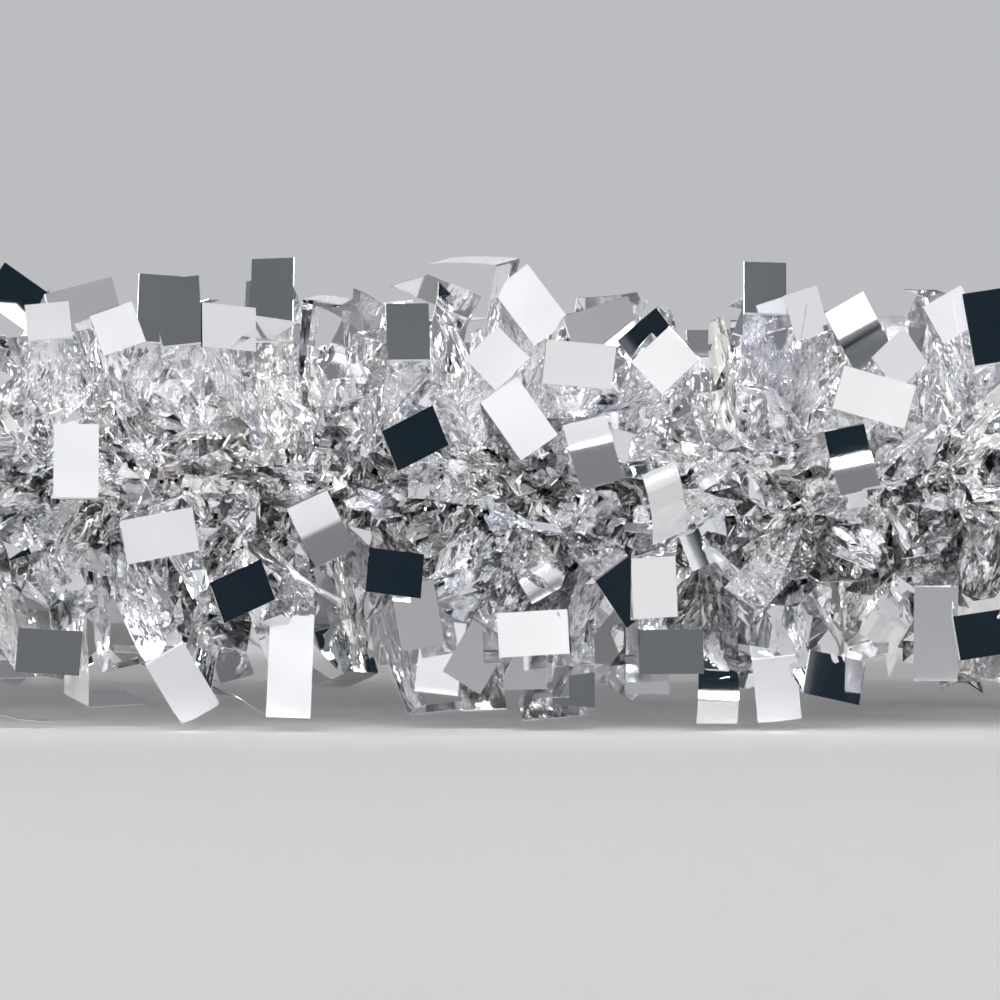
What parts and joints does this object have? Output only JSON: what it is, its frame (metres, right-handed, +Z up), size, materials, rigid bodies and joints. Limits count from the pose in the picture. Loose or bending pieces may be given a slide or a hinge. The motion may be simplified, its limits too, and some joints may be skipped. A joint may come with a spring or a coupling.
{
  "type": "foil boa",
  "caption": "Long flexible boa of mirror-silver film strips round a twisted core cord, laid flat in three runs, with a knot and a loop at each end.",
  "frame": {"origin": "on the floor under the middle of the middle run of the boa as it lies", "axes": "+Z up; +X along the three parallel runs; +Y from the first run towards the last, square to the runs"},
  "size_m": [0.6748, 0.5032, 0.1036],
  "materials": {
    "mirror_film": "mirror-bright metallised film, both faces, flat strips with sharp folds",
    "crumpled_film": "mirror-bright metallised film, cut fine and crumpled",
    "core_yarn": "twisted silver-grey polyester yarn"
  },
  "bodies": {
    "link_01": {"core_cord_01": "core_yarn", "wide_fringe_01": "mirror_film", "fine_fringe_01": "crumpled_film", "end_knot_start": "core_yarn", "end_loop_start": "core_yarn"},
    "link_02": {"core_cord_02": "core_yarn", "wide_fringe_02": "mirror_film", "fine_fringe_02": "crumpled_film"},
    "link_03": {"core_cord_03": "core_yarn", "wide_fringe_03": "mirror_film", "fine_fringe_03": "crumpled_film"},
    "link_04": {"core_cord_04": "core_yarn", "wide_fringe_04": "mirror_film", "fine_fringe_04": "crumpled_film"},
    "link_05": {"core_cord_05": "core_yarn", "wide_fringe_05": "mirror_film", "fine_fringe_05": "crumpled_film"},
    "link_06": {"core_cord_06": "core_yarn", "wide_fringe_06": "mirror_film", "fine_fringe_06": "crumpled_film"},
    "link_07": {"core_cord_07": "core_yarn", "wide_fringe_07": "mirror_film", "fine_fringe_07": "crumpled_film"},
    "link_08": {"core_cord_08": "core_yarn", "wide_fringe_08": "mirror_film", "fine_fringe_08": "crumpled_film"},
    "link_09": {"core_cord_09": "core_yarn", "wide_fringe_09": "mirror_film", "fine_fringe_09": "crumpled_film"},
    "link_10": {"core_cord_10": "core_yarn", "wide_fringe_10": "mirror_film", "fine_fringe_10": "crumpled_film"},
    "link_11": {"core_cord_11": "core_yarn", "wide_fringe_11": "mirror_film", "fine_fringe_11": "crumpled_film"},
    "link_12": {"core_cord_12": "core_yarn", "wide_fringe_12": "mirror_film", "fine_fringe_12": "crumpled_film"},
    "link_13": {"core_cord_13": "core_yarn", "wide_fringe_13": "mirror_film", "fine_fringe_13": "crumpled_film"},
    "link_14": {"core_cord_14": "core_yarn", "wide_fringe_14": "mirror_film", "fine_fringe_14": "crumpled_film"},
    "link_15": {"core_cord_15": "core_yarn", "wide_fringe_15": "mirror_film", "fine_fringe_15": "crumpled_film"},
    "link_16": {"core_cord_16": "core_yarn", "wide_fringe_16": "mirror_film", "fine_fringe_16": "crumpled_film"},
    "link_17": {"core_cord_17": "core_yarn", "wide_fringe_17": "mirror_film", "fine_fringe_17": "crumpled_film", "end_knot_finish": "core_yarn", "end_loop_finish": "core_yarn"}
  },
  "joints": [
    {"name": "lift_01_02", "type": "hinge", "parent": "link_02", "child": "link_01", "pos_m": [-0.073, -0.2, 0.052], "axis": [0, 1, 0.0009], "range_deg": [-40, 40]},
    {"name": "lift_02_03", "type": "hinge", "parent": "link_02", "child": "link_03", "pos_m": [0.073, -0.2, 0.052], "axis": [0, -1, 0.0009], "range_deg": [-40, 40]},
    {"name": "turn_03_04", "type": "hinge", "parent": "link_03", "child": "link_04", "pos_m": [0.219, -0.2, 0.052], "axis": [0.0007, 0.0004, -1], "range_deg": [-10, 50]},
    {"name": "turn_04_05", "type": "hinge", "parent": "link_04", "child": "link_05", "pos_m": [0.27157, -0.1618, 0.052], "axis": [0.0007, 0.0004, 1], "range_deg": [-50, 10]},
    {"name": "turn_05_06", "type": "hinge", "parent": "link_05", "child": "link_06", "pos_m": [0.29165, -0.1, 0.052], "axis": [0.0007, 0.0004, -1], "range_deg": [-10, 50]},
    {"name": "turn_06_07", "type": "hinge", "parent": "link_06", "child": "link_07", "pos_m": [0.27157, -0.0382, 0.052], "axis": [0.0007, 0.0004, 1], "range_deg": [-50, 10]},
    {"name": "turn_07_08", "type": "hinge", "parent": "link_07", "child": "link_08", "pos_m": [0.219, 0, 0.052], "axis": [0.0007, 0.0004, -1], "range_deg": [-10, 50]},
    {"name": "lift_08_09", "type": "hinge", "parent": "link_08", "child": "link_09", "pos_m": [0.073, 0, 0.052], "axis": [0, 1, 0.0009], "range_deg": [-40, 40]},
    {"name": "lift_09_10", "type": "hinge", "parent": "link_09", "child": "link_10", "pos_m": [-0.073, 0, 0.052], "axis": [0, 1, 0.0009], "range_deg": [-40, 40]},
    {"name": "turn_10_11", "type": "hinge", "parent": "link_10", "child": "link_11", "pos_m": [-0.219, 0, 0.052], "axis": [0.0007, 0.0004, 1], "range_deg": [-10, 50]},
    {"name": "turn_11_12", "type": "hinge", "parent": "link_11", "child": "link_12", "pos_m": [-0.27157, 0.0382, 0.052], "axis": [0.0007, 0.0004, -1], "range_deg": [-50, 10]},
    {"name": "turn_12_13", "type": "hinge", "parent": "link_12", "child": "link_13", "pos_m": [-0.29165, 0.1, 0.052], "axis": [0.0007, 0.0004, 1], "range_deg": [-10, 50]},
    {"name": "turn_13_14", "type": "hinge", "parent": "link_13", "child": "link_14", "pos_m": [-0.27157, 0.1618, 0.052], "axis": [0.0007, 0.0004, -1], "range_deg": [-50, 10]},
    {"name": "turn_14_15", "type": "hinge", "parent": "link_14", "child": "link_15", "pos_m": [-0.219, 0.2, 0.052], "axis": [0.0007, 0.0004, 1], "range_deg": [-10, 50]},
    {"name": "lift_15_16", "type": "hinge", "parent": "link_15", "child": "link_16", "pos_m": [-0.073, 0.2, 0.052], "axis": [0, -1, 0.0009], "range_deg": [-40, 40]},
    {"name": "lift_16_17", "type": "hinge", "parent": "link_16", "child": "link_17", "pos_m": [0.073, 0.2, 0.052], "axis": [0, -1, 0.0009], "range_deg": [-40, 40]}
  ]
}
